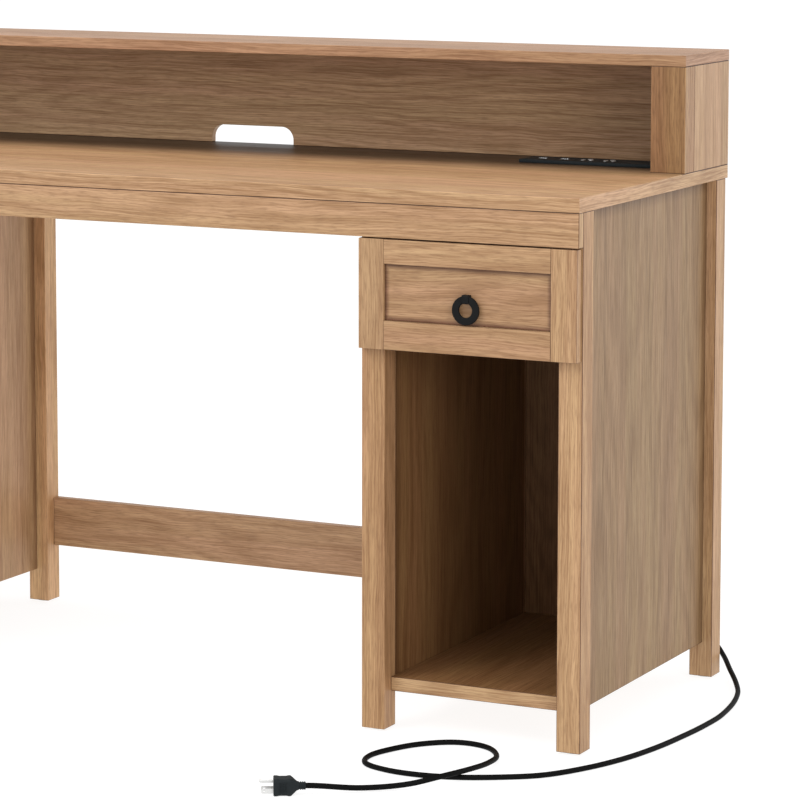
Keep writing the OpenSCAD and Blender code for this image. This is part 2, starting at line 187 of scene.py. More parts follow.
class TimberSettings(bpy.types.PropertyGroup):
    """Sizes and colours of the oak-look boards."""

    edge: FloatProperty(
        name="Edge Rounding", description="Width of the eased edge of a board",
        default=0.8 * MM, min=0.2 * MM, max=3 * MM, unit="LENGTH",
    )
    joint_edge: FloatProperty(
        name="Joint Rounding", description="Width of the eased edge where the members of a drawer front meet",
        default=0.35 * MM, min=0.1 * MM, max=1 * MM, unit="LENGTH",
    )
    light: FloatVectorProperty(
        name="Light Grain", description="Colour of the pale early wood",
        default=(0.61, 0.395, 0.205, 1), **COLOUR,
    )
    rosy: FloatVectorProperty(
        name="Rosy Grain", description="Colour of the pinker stretches of early wood",
        default=(0.61, 0.365, 0.205, 1), **COLOUR,
    )
    dark: FloatVectorProperty(
        name="Dark Grain", description="Colour of the darker late wood",
        default=(0.32, 0.170, 0.075, 1), **COLOUR,
    )
    pore: FloatVectorProperty(
        name="Pores", description="Colour of the pores and knots",
        default=(0.20, 0.100, 0.045, 1), **COLOUR,
    )
    board: FloatVectorProperty(
        name="Drawer Board", description="Colour of the drawer boxes",
        default=(0.58, 0.43, 0.27, 1), **COLOUR,
    )


class HardwareSettings(bpy.types.PropertyGroup):
    """Colours and sizes of the metal and plastic pieces."""

    black: FloatVectorProperty(
        name="Black Paint", description="Colour of the ring pulls",
        default=(0.007, 0.007, 0.007, 1), **COLOUR,
    )
    plastic: FloatVectorProperty(
        name="Black Plastic", description="Colour of the strip, the gland and the plug",
        default=(0.016, 0.020, 0.022, 1), **COLOUR,
    )
    steel: FloatVectorProperty(
        name="Zinc Plate", description="Colour of the slides and screws",
        default=(0.56, 0.57, 0.58, 1), **COLOUR,
    )
    screw_r: FloatProperty(
        name="Screw Head Radius", description="Radius of a screw's head",
        default=3.4 * MM, min=2 * MM, max=5 * MM, unit="LENGTH",
    )
    balls: IntProperty(
        name="Balls per Row", description="Number of balls in one row of a slide's cage",
        default=12, min=4, max=30,
    )


class CordSettings(bpy.types.PropertyGroup):
    """Size and colour of the power cord."""

    diameter: FloatProperty(
        name="Cord Diameter", description="Outer diameter of the jacket",
        default=7.5 * MM, min=6 * MM, max=9 * MM, unit="LENGTH",
    )
    jacket: FloatVectorProperty(
        name="Jacket", description="Colour of the cord's jacket",
        default=(0.004, 0.004, 0.004, 1), **COLOUR,
    )


class StageSettings(bpy.types.PropertyGroup):
    """Camera, floor and light from all around."""

    lens: FloatProperty(
        name="Focal Length", description="Camera lens for a 36 mm wide sensor, in millimetres",
        default=156.96, min=50, max=300,
    )
    camera_at: FloatVectorProperty(
        name="Camera Place", description="Where the camera stands",
        default=(2.596, -4.500, 1.236), subtype="TRANSLATION", unit="LENGTH",
    )
    yaw: FloatProperty(
        name="Yaw", description="Turn of the camera to the left of straight ahead",
        default=math.radians(26.81), subtype="ANGLE",
    )
    pitch: FloatProperty(
        name="Pitch", description="Tilt of the camera below the horizon",
        default=math.radians(6.60), subtype="ANGLE",
    )
    ambient: FloatProperty(
        name="Ambient Light", description="Strength of the light from all around",
        default=0.86, min=0, max=2,
    )
    floor: FloatVectorProperty(
        name="Floor", description="Colour of the floor",
        default=(0.25, 0.25, 0.25, 1), **COLOUR,
    )


# ---------------------------------------------------------------- shader tools


class Graph:
    """Adds nodes to a tree. A value that is a socket is linked, and anything else is set."""

    def __init__(self, tree):
        self.tree = tree

    def add(self, kind, values=None, **settings):
        made = self.tree.nodes.new(kind)
        for name, value in settings.items():
            setattr(made, name, value)
        for key, value in (values or {}).items():
            if isinstance(value, bpy.types.NodeSocket):
                self.tree.links.new(value, made.inputs[key])
            else:
                made.inputs[key].default_value = value
        return made

    def math(self, operation, *values):
        return self.add("ShaderNodeMath", dict(enumerate(values)), operation=operation).outputs[0]

    def vector(self, operation, *values):
        return self.add("ShaderNodeVectorMath", dict(enumerate(values)), operation=operation).outputs[0]

    def noise(self, vector, detail=2.0, roughness=0.5, scale=1.0):
        values = {"Vector": vector, "Scale": scale, "Detail": detail, "Roughness": roughness}
        return self.add("ShaderNodeTexNoise", values).outputs["Fac"]

    def fit(self, value, low, high, to_low=0.0, to_high=1.0):
        """Value taken from one range to another, and held inside it."""
        ends = {"Value": value, "From Min": low, "From Max": high, "To Min": to_low, "To Max": to_high}
        return self.add("ShaderNodeMapRange", ends, clamp=True).outputs[0]

    def mix(self, share, first, second, blend="MIX"):
        values = {0: share, 6: first, 7: second}
        return self.add("ShaderNodeMix", values, data_type="RGBA", blend_type=blend).outputs[2]


def shader_group(name, inputs):
    """A new group that gives colour, roughness and height: its tree, graph, inputs and a way to give."""
    tree = bpy.data.node_groups.new(name, "ShaderNodeTree")
    for label, kind, default in inputs:
        socket = tree.interface.new_socket(label, in_out="INPUT", socket_type="NodeSocket" + kind)
        socket.default_value = default
    for label, kind in (("Color", "Color"), ("Roughness", "Float"), ("Height", "Float")):
        tree.interface.new_socket(label, in_out="OUTPUT", socket_type="NodeSocket" + kind)
    graph = Graph(tree)
    taken = graph.add("NodeGroupInput").outputs
    given = graph.add("NodeGroupOutput").inputs

    def give(**sockets):
        for label, socket in sockets.items():
            tree.links.new(socket, given[label])

    return tree, graph, taken, give


def oak_grain_group():
    """Oak laminate over a map whose first axis runs along the grain, in metres."""
    tree, g, use, give = shader_group(
        "Oak Grain",
        [
            ("Vector", "Vector", (0, 0, 0)),
            ("Light", "Color", (0.5, 0.3, 0.2, 1)),
            ("Rosy", "Color", (0.5, 0.3, 0.2, 1)),
            ("Dark", "Color", (0.3, 0.2, 0.1, 1)),
            ("Pore", "Color", (0.1, 0.05, 0.03, 1)),
            ("Tint", "Color", (1, 1, 1, 1)),
            ("Figure", "Float", 1.0),
            ("Contrast", "Float", 1.0),
            ("Pores", "Float", 0.5),
        ],
    )
    flat = use["Vector"]
    wander = g.noise(g.vector("MULTIPLY", flat, (1.3, 5, 1)), 2)
    ripple = g.noise(g.vector("MULTIPLY", flat, (11, 16, 1)), 1)
    sideways = g.math("MULTIPLY", g.math("SUBTRACT", wander, 0.5), 0.035)
    sideways = g.math("MULTIPLY_ADD", ripple, 0.007, sideways)
    bent = g.vector("ADD", flat, g.add("ShaderNodeCombineXYZ", {"Y": sideways}).outputs[0])
    streaks = g.fit(g.noise(g.vector("MULTIPLY", bent, (2.2, 105, 1)), 4, 0.62), 0.38, 0.62)
    lines = g.fit(g.noise(g.vector("MULTIPLY", bent, (9, 470, 1)), 3, 0.65), 0.40, 0.60)
    hills = g.noise(g.vector("MULTIPLY", bent, (0.9, 7.5, 1)), 1.5, 0.4)
    rings = g.math("SINE", g.math("MULTIPLY", g.math("MULTIPLY", hills, use["Figure"]), 120))
    arches = g.fit(rings, -0.4, 1)
    drift = g.fit(g.noise(g.vector("MULTIPLY", flat, (0.7, 13, 1)), 2), 0.38, 0.62)
    blush = g.fit(g.noise(g.vector("MULTIPLY", bent, (1.1, 21, 7)), 2), 0.40, 0.60)
    dashes = g.noise(g.vector("MULTIPLY", bent, (42, 500, 1)), 2, 0.6)
    flecks = g.math("MULTIPLY", g.fit(dashes, 0.48, 0.68), use["Pores"])
    spots = g.vector("MULTIPLY", flat, (1.5, 4.5, 1))
    cells = g.add("ShaderNodeTexVoronoi", {"Vector": spots, "Scale": 1.0})
    knots = g.fit(cells.outputs["Distance"], 0.006, 0.020, 1, 0)
    shade = g.math("MULTIPLY_ADD", streaks, 0.25, g.math("MULTIPLY", arches, 0.19))
    shade = g.math("MULTIPLY_ADD", lines, 0.41, shade)
    shade = g.math("MULTIPLY_ADD", drift, 0.19, shade)
    spread = g.math("MULTIPLY", g.math("SUBTRACT", shade, 0.45), use["Contrast"])
    shade = g.fit(g.math("ADD", spread, 0.45), 0, 1)
    colour = g.mix(shade, g.mix(blush, use["Light"], use["Rosy"]), use["Dark"])
    colour = g.mix(flecks, colour, use["Pore"])
    colour = g.mix(g.math("MULTIPLY", knots, 0.75), colour, use["Pore"])
    roughness = g.fit(g.math("ADD", lines, flecks), 0, 1.5, 0.42, 0.56)
    height = g.math("SUBTRACT", g.math("MULTIPLY", lines, 0.35), flecks)
    give(Color=g.mix(1.0, colour, use["Tint"], "MULTIPLY"), Roughness=roughness, Height=height)
    return tree


def surface_group():
    """Fine pebbling, cloudy smudges and dust of painted and moulded pieces."""
    tree, g, use, give = shader_group(
        "Fine Surface",
        [
            ("Vector", "Vector", (0, 0, 0)),
            ("Color", "Color", (0.5, 0.5, 0.5, 1)),
            ("Dust", "Color", (0.5, 0.5, 0.5, 1)),
            ("Grain Scale", "Float", 2500.0),
            ("Roughness", "Float", 0.5),
            ("Variation", "Float", 0.1),
        ],
    )
    pebbles = g.noise(use["Vector"], 2, 0.6, use["Grain Scale"])
    clouds = g.fit(g.noise(use["Vector"], 4, 0.6, 45.0), 0.3, 0.7)
    specks = g.fit(g.noise(use["Vector"], 1, 0.5, 900.0), 0.66, 0.76)
    share = g.math("MULTIPLY", g.math("MULTIPLY_ADD", specks, 0.6, clouds), use["Variation"])
    roughness = g.math("MULTIPLY_ADD", clouds, use["Variation"], use["Roughness"])
    give(Color=g.mix(share, use["Color"], use["Dust"]), Roughness=roughness, Height=pebbles)
    return tree


def brushed_group():
    """Drawn metal: fine lines along one axis and soft stains."""
    tree, g, use, give = shader_group(
        "Drawn Metal",
        [
            ("Vector", "Vector", (0, 0, 0)),
            ("Color", "Color", (0.5, 0.5, 0.5, 1)),
            ("Stain", "Color", (0.3, 0.3, 0.3, 1)),
            ("Roughness", "Float", 0.3),
        ],
    )
    lines = g.noise(g.vector("MULTIPLY", use["Vector"], (2600, 60, 2600)), 2, 0.6)
    stains = g.fit(g.noise(use["Vector"], 4, 0.6, 30.0), 0.45, 0.75)
    roughness = g.math("MULTIPLY_ADD", stains, 0.18, use["Roughness"])
    give(Color=g.mix(stains, use["Color"], use["Stain"]), Roughness=roughness, Height=lines)
    return tree


def new_material(slot):
    """A slot's finish with a Principled shader, its graph and that shader."""
    made = bpy.data.materials.new(slot + "_finish")
    made.use_nodes = True
    made.node_tree.nodes.clear()
    g = Graph(made.node_tree)
    shader = g.add("ShaderNodeBsdfPrincipled")
    g.add("ShaderNodeOutputMaterial", {"Surface": shader.outputs[0]})
    return made, g, shader


def finish_of(slot):
    return bpy.data.materials[slot + "_finish"]


def surface_material(slot, group, depth, values, constants, timber=False):
    """A slot's finish: what a group gives over the surface, and the shader's fixed values.

    Timber reads its own grain map and its boards' tints, painted light and painted shade among them, and
    everything else the object's coordinates.
    """
    _, g, shader = new_material(slot)
    if timber:
        tint = g.add("ShaderNodeAttribute", attribute_name=TINT).outputs["Color"]
        places = {"Vector": g.add("ShaderNodeUVMap", uv_map=GRAIN_MAP).outputs["UV"], "Tint": tint}
    else:
        places = {"Vector": g.add("ShaderNodeTexCoord").outputs["Object"]}
    effect = g.add("ShaderNodeGroup", {**places, **values}, node_tree=group).outputs
    bump = g.add("ShaderNodeBump", {"Height": effect["Height"], "Strength": 0.5, "Distance": depth})
    g.tree.links.new(effect["Color"], shader.inputs["Base Color"])
    g.tree.links.new(effect["Roughness"], shader.inputs["Roughness"])
    g.tree.links.new(bump.outputs[0], shader.inputs["Normal"])
    for socket, value in constants.items():
        shader.inputs[socket].default_value = value


# ---------------------------------------------------------------- mesh tools


def link(name, data):
    made = bpy.data.objects.new(name, data)
    bpy.context.scene.collection.objects.link(made)
    return made


def finish_piece(name, bm, body, slot, replaced=(), smooth=30):
    """Turns the mesh being built into a piece that rides on a body."""
    mesh = bpy.data.meshes.new(name)
    bm.to_mesh(mesh)
    bm.free()
    mesh.materials.append(finish_of(slot))
    mesh.polygons.foreach_set("use_smooth", [True] * len(mesh.polygons))
    mesh.set_sharp_from_angle(angle=math.radians(smooth))
    piece = link(name, mesh)
    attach(piece, body)
    if replaced:
        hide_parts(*replaced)
    return piece


def cad_copy(node, edge, segments=2):
    """The solids of a CAD node as clean faces, with every sharp edge eased."""
    bm = bmesh.new()
    bm.from_mesh(NODES[node].data)
    bmesh.ops.remove_doubles(bm, verts=bm.verts, dist=0.01 * MM)
    bmesh.ops.dissolve_limit(bm, angle_limit=math.radians(1), verts=bm.verts, edges=bm.edges)
    sharp = [e for e in bm.edges if e.is_manifold and e.calc_face_angle() > math.radians(30)]
    bmesh.ops.bevel(
        bm, geom=sharp, offset=edge, offset_type="OFFSET", segments=segments, profile=0.5, affect="EDGES"
    )
    return bm


def islands(bm):
    """The faces of each separate solid."""
    left = set(bm.faces)
    while left:
        seed = left.pop()
        island, edge_of_it = [seed], [seed]
        while edge_of_it:
            face = edge_of_it.pop()
            for edge in face.edges:
                for other in edge.link_faces:
                    if other in left:
                        left.discard(other)
                        island.append(other)
                        edge_of_it.append(other)
        yield island


def grown(low, high):
    """A box that reaches a joint's width further on every side."""
    return [p - JOINT_REACH for p in low], [p + JOINT_REACH for p in high]


def near_boxes(node):
    """Boxes of the other pieces that touch a node, each a little bigger than the piece."""
    low, high = grown(*BOXES[node])
    found = []
    for other, (other_low, other_high) in BOXES.items():
        if other != node and all(other_low[a] < high[a] and other_high[a] > low[a] for a in range(3)):
            found.append(grown(other_low, other_high))
    return found


def inside(point, boxes):
    return any(all(low[a] < point[a] < high[a] for a in range(3)) for low, high in boxes)


def times(*colours):
    product = [1, 1, 1]
    for colour in colours:
        product = [first * second for first, second in zip(product, colour)]
    return product


def box_of(faces):
    """Low and high corner of some faces."""
    points = [v.co for face in faces for v in face.verts]
    return [Vector([pick(p[a] for p in points) for a in range(3)]) for pick in (min, max)]


def map_grain(bm, node, start):
    """Lays the grain along each solid's longest side, and along the longer side of its end faces."""
    bm.loops.layers.uv.new(GRAIN_MAP)
    bm.loops.layers.float_color.new(TINT)
    uv, tint = bm.loops.layers.uv[GRAIN_MAP], bm.loops.layers.float_color[TINT]
    neighbours = near_boxes(node)
    solids = sorted(islands(bm), key=lambda faces: min(tuple(v.co) for face in faces for v in face.verts))
    for number, faces in enumerate(solids, start):
        low, high = box_of(faces)
        size = high - low
        touching = neighbours + [grown(*box_of(solid)) for solid in solids if solid is not faces]
        vary = 1 + BOARD_SPREAD * math.sin(number * BOARD_TURN)
        # The board's own tone, with painted light or painted shade on some boards
        board = times([vary, vary, vary], BOARD_TONES_AND_PAINTED_LIGHT.get(node, (1, 1, 1)))
        for face in faces:
            normal = face.normal
            facing = max(range(3), key=lambda a: abs(normal[a]))
            along, across = sorted((a for a in range(3) if a != facing), key=lambda a: -size[a])
            side = facing * AXIS_STEP + (FAR_SIDE_STEP if normal[facing] > 0 else 0)
            shift = Vector((number * GRAIN_STEP[0], number * GRAIN_STEP[1] + side))
            whole_face = face_shade(node, face, touching)
            for loop in face.loops:
                spot = loop.vert.co
                loop[uv].uv = Vector((spot[along], spot[across])) + shift
                shade = corner_shade(node, normal, spot, low, high, whole_face)
                loop[tint] = (*times(board, shade), 1)


def face_shade(node, face, touching):
    """Share of its board's colour that a face keeps, with painted shade in the bay and on the shelf posts'
    fronts. Only the faces of eased edges are not square on.
    """
    normal, middle = face.normal, face.calc_center_bounds()
    if max(abs(part) for part in normal) < SQUARE_ON:
        return IN_JOINT if inside(middle, touching) else EASED
    # Painted shade inside the bay
    if inside(middle + normal * LOOK_AHEAD, [BAY]):
        return BAY_PAINTED_SHADE
    # Painted shade on the front faces of the shelf posts
    if normal.y < -SQUARE_ON and node in POST_FRONT_PAINTED_SHADE:
        return POST_FRONT_PAINTED_SHADE[node]
    return WHOLE


def corner_shade(node, normal, spot, low, high, whole_face):
    """A face's share at one of its corners, with painted shade that deepens towards the drawer panels'
    frames, the side panels' rims and the shelf's back panel.
    """
    recessed = node.endswith("_front") and low.y > BOXES[node][0].y + MM
    to_side = min(spot.x - low.x, high.x - spot.x, spot.z - low.z, high.z - spot.z)
    # Painted shade along the rim of a drawer front's recessed panel
    if recessed and normal.y < -SQUARE_ON and to_side < EDGE_REACH:
        return RECESS_PAINTED_SHADE
    to_rim = min(spot.y - low.y, high.y - spot.y, high.z - spot.z)
    # Painted shade along the side panels' rims beside the legs and under the desktop
    if node.endswith(PEDESTAL_SIDES) and to_rim < EDGE_REACH:
        return times(whole_face, SIDE_PANEL_PAINTED_SHADE)
    # Painted shade on the desktop under the shelf
    if node == "desktop" and normal.z > SQUARE_ON:
        return times([painted_niche_share(spot)] * 3, NICHE_SHADE_TONE)
    return whole_face


def painted_niche_share(spot):
    """Share of the desktop's colour kept at a point near the shelf's back panel, a painted shade under the
    shelf.
    """
    reach = BOXES["shelf_back_panel"][0].y - spot.y
    for (near, less), (far, more) in zip(NICHE_PAINTED_SHADE, NICHE_PAINTED_SHADE[1:]):
        if reach < far:
            return less + (more - less) * max(0, reach - near) / (far - near)
    return 1


def cut(bm, point, normal):
    """Splits the faces that a plane crosses."""
    geometry = [*bm.verts, *bm.edges, *bm.faces]
    bmesh.ops.bisect_plane(bm, geom=geometry, plane_co=point, plane_no=normal)


def make_board(node, edge):
    """A timber board in place of its CAD node."""
    bm = cad_copy(node, edge)
    low, high = BOXES[node]
    # Inset rings on the drawer fronts' recessed panels carry their painted shade
    if node.endswith("_front"):
        facing = [face for face in bm.faces if face.normal.y < -SQUARE_ON]
        panels = [f for f in facing if low.y + MM < f.calc_center_median().y < low.y + RECESS_DEPTH]
        bmesh.ops.inset_region(bm, faces=panels, thickness=RECESS_SHADE)
    # Cuts across the desktop carry the painted shade under the shelf
    if node == "desktop":
        for reach, _ in NICHE_PAINTED_SHADE:
            cut(bm, (0, BOXES["shelf_back_panel"][0].y - reach, 0), (0, 1, 0))
    # Cuts near the side panels' rims carry their painted shade
    if node.endswith(PEDESTAL_SIDES):
        cut(bm, (0, low.y + PANEL_SHADE, 0), (0, 1, 0))
        cut(bm, (0, high.y - PANEL_SHADE, 0), (0, 1, 0))
        cut(bm, (0, 0, high.z - PANEL_SHADE), (0, 0, 1))
    bm.normal_update()
    map_grain(bm, node, next(BOARD_NUMBERS))
    return finish_piece(node + "_board", bm, NODES[node]["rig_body"], SLOT_OF[node], [node], smooth=20)


def rounded(a, b, r, steps=6):
    """Outline of a rectangle of half sizes a and b with corners of radius r, anticlockwise."""
    points = []
    for corner, (sx, sy) in enumerate(((1, 1), (-1, 1), (-1, -1), (1, -1))):
        for k in range(steps + 1):
            angle = math.pi / 2 * (corner + k / steps)
            points.append((sx * (a - r) + r * math.cos(angle), sy * (b - r) + r * math.sin(angle)))
    return points


def loft(bm, rings, closed=False):
    """Skins a row of rings of as many points each. Closed joins its two ends instead of capping them."""
    rows = [[bm.verts.new(point) for point in ring] for ring in rings]
    for first, second in zip(rows, rows[1:] + rows[:1] if closed else rows[1:]):
        for k in range(len(first)):
            n = (k + 1) % len(first)
            bm.faces.new((first[k], first[n], second[n], second[k]))
    if not closed:
        bm.faces.new(rows[0][::-1])
        bm.faces.new(rows[-1])


def turned(bm, profile, place, sides=32):
    """A solid turned about the local Z axis from (radius, height) pairs, set by the matrix place."""
    rings = []
    for radius, height in profile:
        angles = [2 * math.pi * k / sides for k in range(sides)]
        rings.append([place @ Vector((radius * math.cos(a), radius * math.sin(a), height)) for a in angles])
    loft(bm, rings)


def aim(point, direction):
    """Matrix that takes the local Z axis to a direction at a point."""
    turn = Vector(direction).to_track_quat("Z", "Y").to_matrix().to_4x4()
    return Matrix.Translation(point) @ turn


# ---------------------------------------------------------------- geometry nodes


def pieces_on_points_tree():
    """Copies of a small piece on a mesh's points, turned to face their points' way and spun at random."""
    tree = bpy.data.node_groups.new("Pieces On Points", "GeometryNodeTree")
    inputs = {"Geometry": "Geometry", "Piece": "Object", "Size": "Float", "Spin": "Float", "Seed": "Int"}
    for label, kind in {**inputs, "Finish": "Material"}.items():
        tree.interface.new_socket(label, in_out="INPUT", socket_type="NodeSocket" + kind)
    tree.interface.new_socket("Geometry", in_out="OUTPUT", socket_type="NodeSocketGeometry")
    g = Graph(tree)
    use = g.add("NodeGroupInput").outputs
    facing = g.add("GeometryNodeInputNamedAttribute", {"Name": FACING}, data_type="FLOAT_VECTOR")
    align = g.add("FunctionNodeAlignRotationToVector", {"Vector": facing.outputs["Attribute"]}, axis="Z")
    chance = g.add("FunctionNodeRandomValue", data_type="FLOAT")
    float_inputs = [s for s in chance.inputs if s.type == "VALUE"]
    tree.links.new(use["Spin"], float_inputs[1])
    tree.links.new(use["Seed"], chance.inputs["Seed"])
    angle = next(s for s in chance.outputs if s.type == "VALUE" and s.enabled)
    spin = g.add("FunctionNodeAxisAngleToRotation", {"Axis": (0, 0, 1), "Angle": angle})
    turns = {"Rotation": align.outputs[0], "Rotate By": spin.outputs[0]}
    turn = g.add("FunctionNodeRotateRotation", turns, rotation_space="LOCAL")
    info = g.add("GeometryNodeObjectInfo", {"Object": use["Piece"], "As Instance": True})
    copies = {
        "Points": use["Geometry"],
        "Instance": info.outputs["Geometry"],
        "Rotation": turn.outputs[0],
        "Scale": use["Size"],
    }
    placed = g.add("GeometryNodeInstanceOnPoints", copies)
    real = g.add("GeometryNodeRealizeInstances", {"Geometry": placed.outputs[0]})
    dressed = g.add("GeometryNodeSetMaterial", {"Geometry": real.outputs[0], "Material": use["Finish"]})
    g.add("NodeGroupOutput", {"Geometry": dressed.outputs[0]})
    return tree


def scatter(name, sample, points, body, slot, size=1.0, spin=math.tau, seed=1, replaced=()):
    """Puts copies of a sample mesh on (place, direction) points and keeps them as one plain mesh."""
    tree = bpy.data.node_groups.get("Pieces On Points") or pieces_on_points_tree()
    mesh = bpy.data.meshes.new(name)
    mesh.from_pydata([place for place, _ in points], [], [])
    ways = mesh.attributes.new(FACING, "FLOAT_VECTOR", "POINT")
    ways.data.foreach_set("vector", [part for _, way in points for part in way])
    holder = link(name, mesh)
    modifier = holder.modifiers.new("copies", "NODES")
    modifier.node_group = tree
    material = finish_of(slot)
    given = {"Piece": sample, "Size": size, "Spin": spin, "Seed": seed, "Finish": material}
    for item in tree.interface.items_tree:
        if item.in_out == "INPUT" and item.name in given:
            modifier[item.identifier] = given[item.name]
    bpy.context.view_layer.update()
    evaluated = holder.evaluated_get(bpy.context.evaluated_depsgraph_get())
    plain = bpy.data.meshes.new_from_object(evaluated)
    holder.modifiers.clear()
    holder.data = plain
    plain.polygons.foreach_set("use_smooth", [True] * len(plain.polygons))
    plain.set_sharp_from_angle(angle=math.radians(40))
    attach(holder, body)
    if replaced:
        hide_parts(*replaced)
    return holder


def sample_object(name, bm):
    """A sample for scatter, to be removed once its copies are made."""
    mesh = bpy.data.meshes.new(name)
    bmesh.ops.recalc_face_normals(bm, faces=bm.faces)
    bm.to_mesh(mesh)
    bm.free()
    return link(name, mesh)


def screw_sample(radius):
    """A pan head with a cross recess, a few dozen faces."""
    sides, high = 16, 0.42 * radius
    disc, cross = (1, 1, 1, 1), (0.50, 0.46, 0.16, 0.46)
    sections = [(1, -0.1, disc), (1, 0.25, disc), (0.92, 0.7, disc), (0.66, 1, disc)]
    sections += [(1, 1, cross), (0.75, 0.3, cross)]
    rings = []
    for share, height, outline in sections:
        ring = []
        for k in range(sides):
            angle = 2 * math.pi * k / sides
            reach = radius * share * outline[k % 4]
            ring.append((reach * math.cos(angle), reach * math.sin(angle), height * high))
        rings.append(ring)
    bm = bmesh.new()
    loft(bm, rings)
    return sample_object("screw_sample", bm)


# ---------------------------------------------------------------- operators


class DESK_OT_stage(bpy.types.Operator):
    """Set up the camera, the pale floor and the soft studio lights"""

    bl_idname = "desk.stage"
    bl_label = "Stage"

    def execute(self, context):
        stage = context.scene.desk_stage
        camera_data = bpy.data.cameras.new("camera")
        camera_data.lens = stage.lens
        camera_data.sensor_width = 36
        camera_data.shift_x, camera_data.shift_y = CAMERA_SHIFT
        camera_data.clip_end = 5 * FLOOR_RADIUS
        camera = link("camera", camera_data)
        camera.location = stage.camera_at
        camera.rotation_euler = (math.pi / 2 - stage.pitch, 0, stage.yaw)
        context.scene.camera = camera
        context.scene.view_settings.view_transform = "Standard"
        self.lights()
        self.floor(stage)
        self.surroundings(context, stage)
        return {"FINISHED"}

    def lights(self):
        middle = Vector((0.2, 0, 0.45))
        # Place and width in metres, and power in watts
        for name, place, size, power in (
            ("key_light", (-1.6, -3.6, 4.4), 2.6, 90),
            ("top_light", (0.2, -0.8, 4.9), 2.2, 48),
            ("fill_light", (4.3, -2.9, 1.5), 2.4, 58),
            ("back_light", (3.6, 4.2, 1.6), 2.4, 42),
        ):
            data = bpy.data.lights.new(name, "AREA")
            data.shape = "DISK"
            data.size = size
            data.energy = power
            lamp = link(name, data)
            lamp.location = place
            lamp.rotation_euler = (middle - lamp.location).to_track_quat("-Z", "Y").to_euler()

    def floor(self, stage):
        bm = bmesh.new()
        bmesh.ops.create_circle(bm, cap_ends=True, segments=64, radius=FLOOR_RADIUS)
        mesh = bpy.data.meshes.new("floor")
        bm.to_mesh(mesh)
        bm.free()
        made, g, shader = new_material("floor")
        place = g.add("ShaderNodeTexCoord").outputs["Object"]
        clouds = g.fit(g.noise(place, 3, 0.5, 0.8), 0.3, 0.7)
        paler = [part * 0.97 for part in stage.floor[:3]] + [1]
        g.tree.links.new(g.mix(clouds, tuple(stage.floor), paler), shader.inputs["Base Color"])
        shader.inputs["Roughness"].default_value = 0.9
        shader.inputs["Specular IOR Level"].default_value = 0.0
        shader.inputs["Emission Color"].default_value = (1, 1, 1, 1)
        shader.inputs["Emission Strength"].default_value = FLOOR_GLOW
        mesh.materials.append(made)
        floor = link("floor", mesh)
        floor.visible_diffuse = False
        floor.visible_shadow = False

    def surroundings(self, context, stage):
        world = bpy.data.worlds.new("studio")
        world.use_nodes = True
        world.node_tree.nodes.clear()
        g = Graph(world.node_tree)
        ray = g.add("ShaderNodeLightPath")
        soft = g.add("ShaderNodeBackground", {"Color": (1, 1, 1, 1), "Strength": stage.ambient})
        seen = g.add("ShaderNodeBackground", {"Color": (1, 1, 1, 1), "Strength": 1.0})
        both = g.add(
            "ShaderNodeMixShader", {0: ray.outputs["Is Camera Ray"], 1: soft.outputs[0], 2: seen.outputs[0]}
        )
        g.add("ShaderNodeOutputWorld", {"Surface": both.outputs[0]})
        context.scene.world = world


class DESK_OT_finishes(bpy.types.Operator):
    """Mix the oak, metal, plastic and rubber finishes"""

    bl_idname = "desk.finishes"
    bl_label = "Finishes"

    def execute(self, context):
        self.timber(context.scene.desk_timber)
        self.metal(context.scene.desk_hardware)
        self.plastic(context.scene.desk_hardware, context.scene.desk_cord)
        return {"FINISHED"}

    def timber(self, timber):
        oak = oak_grain_group()
        colours = {"Light": timber.light, "Rosy": timber.rosy, "Dark": timber.dark, "Pore": timber.pore}
        shades = {"Light": 1.0, "Rosy": 0.97, "Dark": 0.80, "Pore": 0.60}
        plain = {name: [part * shade for part in timber.board[:3]] + [1] for name, shade in shades.items()}
        for slot, palette, figure, contrast, pores in (
            ("oak_top", colours, 1.0, 1.3, 0.38),
            ("oak_front", colours, 1.0, 1.05, 0.48),
            ("oak_leg", colours, 0.8, 1.2, 0.42),
            ("oak_side", colours, 0.7, 1.15, 0.30),
            ("oak_back", colours, 1.3, 1.4, 0.40),
            ("drawer_board", plain, 0.4, 0.8, 0.25),
        ):
            values = {**palette, "Figure": figure, "Contrast": contrast, "Pores": pores}
            surface_material(slot, oak, 0.15 * MM, values, {"Specular IOR Level": 0.35}, timber=True)

    def metal(self, hardware):
        drawn = brushed_group()
        for slot, colour, stain, roughness, metallic in (
            ("zinc_steel", hardware.steel, (0.42, 0.43, 0.45, 1), 0.34, 0.8),
            ("plug_metal", (0.70, 0.70, 0.69, 1), (0.58, 0.57, 0.55, 1), 0.30, 0.7),
        ):
            values = {"Color": colour, "Stain": stain, "Roughness": roughness}
            surface_material(slot, drawn, 0.02 * MM, values, {"Metallic": metallic})

    def plastic(self, hardware, cord):
        fine = surface_group()
        dust = (0.05, 0.05, 0.05, 1)
        for slot, colour, dirt, grain, roughness, variation, depth, specular in (
            ("black_metal", hardware.black, dust, 1800.0, 0.45, 0.08, 0.05, 0.08),
            ("black_plastic", hardware.plastic, dust, 2600.0, 0.50, 0.10, 0.04, 0.08),
            ("cord_jacket", cord.jacket, dust, 1200.0, 0.50, 0.04, 0.05, 0.04),
            ("white_glide", (0.80, 0.80, 0.78, 1), (0.60, 0.58, 0.54, 1), 900.0, 0.40, 0.15, 0.05, 0.5),
        ):
            values = {"Color": colour, "Dust": dirt, "Grain Scale": grain}
            values.update({"Roughness": roughness, "Variation": variation})
            surface_material(slot, fine, depth * MM, values, {"Specular IOR Level": specular})


